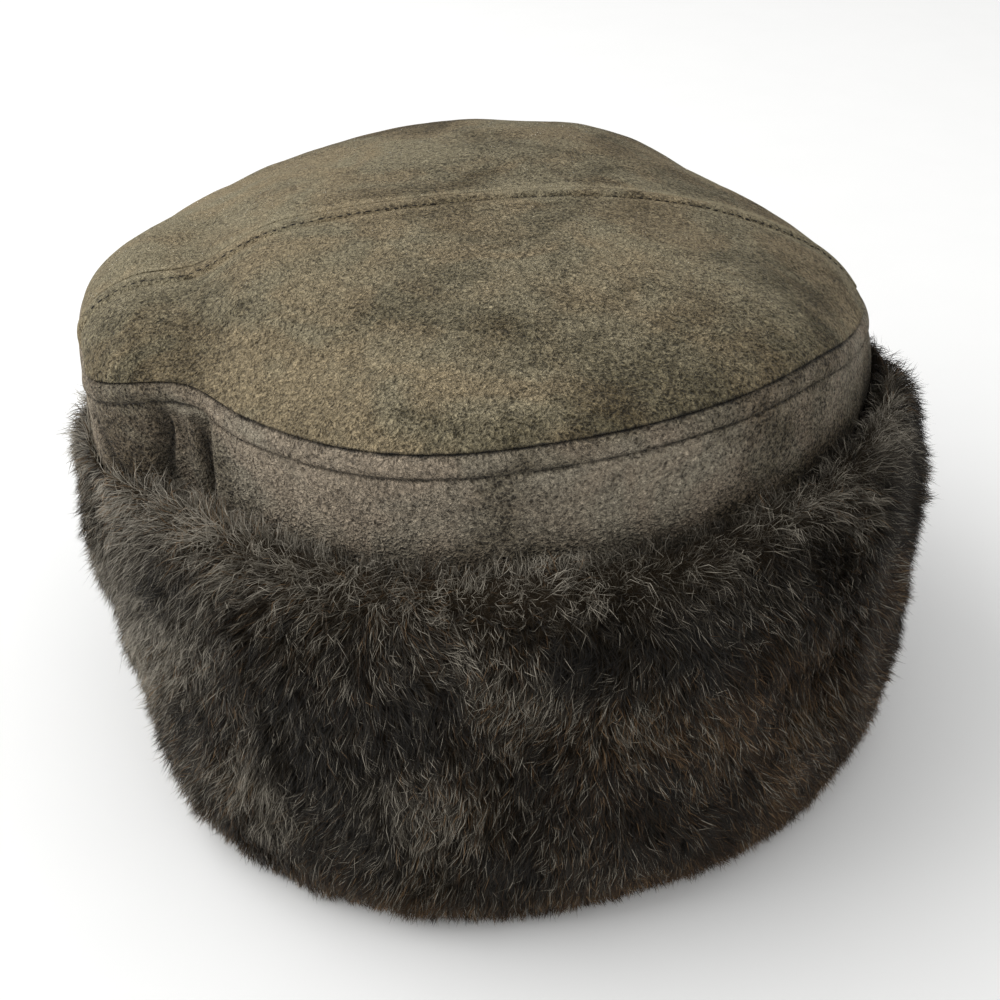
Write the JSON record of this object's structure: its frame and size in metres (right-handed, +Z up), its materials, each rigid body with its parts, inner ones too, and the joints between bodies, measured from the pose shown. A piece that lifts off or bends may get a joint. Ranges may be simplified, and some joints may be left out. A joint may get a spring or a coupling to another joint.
{
  "type": "cossack hat",
  "caption": "Low round fur-cuffed hat: a soft suede crown of two panels and a side band inside a deep turned-up sheepskin cuff, open below for the head.",
  "frame": {"origin": "on the surface that the hat rests on, under the middle of the hat's box", "axes": "+Z up through the crown, -Y towards the front of the hat (the brow), +X to the wearer's left"},
  "size_m": [0.2606, 0.2896, 0.1609],
  "materials": {
    "suede": "napped suede, olive brown, mottled",
    "sheepskin_fur": "sheared sheepskin pile, charcoal brown",
    "thread": "spun polyester topstitching thread, dark brown"
  },
  "bodies": {
    "root": {"crown_front_panel": "suede", "crown_back_panel": "suede", "side_band": "suede", "fur_cuff": "sheepskin_fur"}
  },
  "joints": []
}
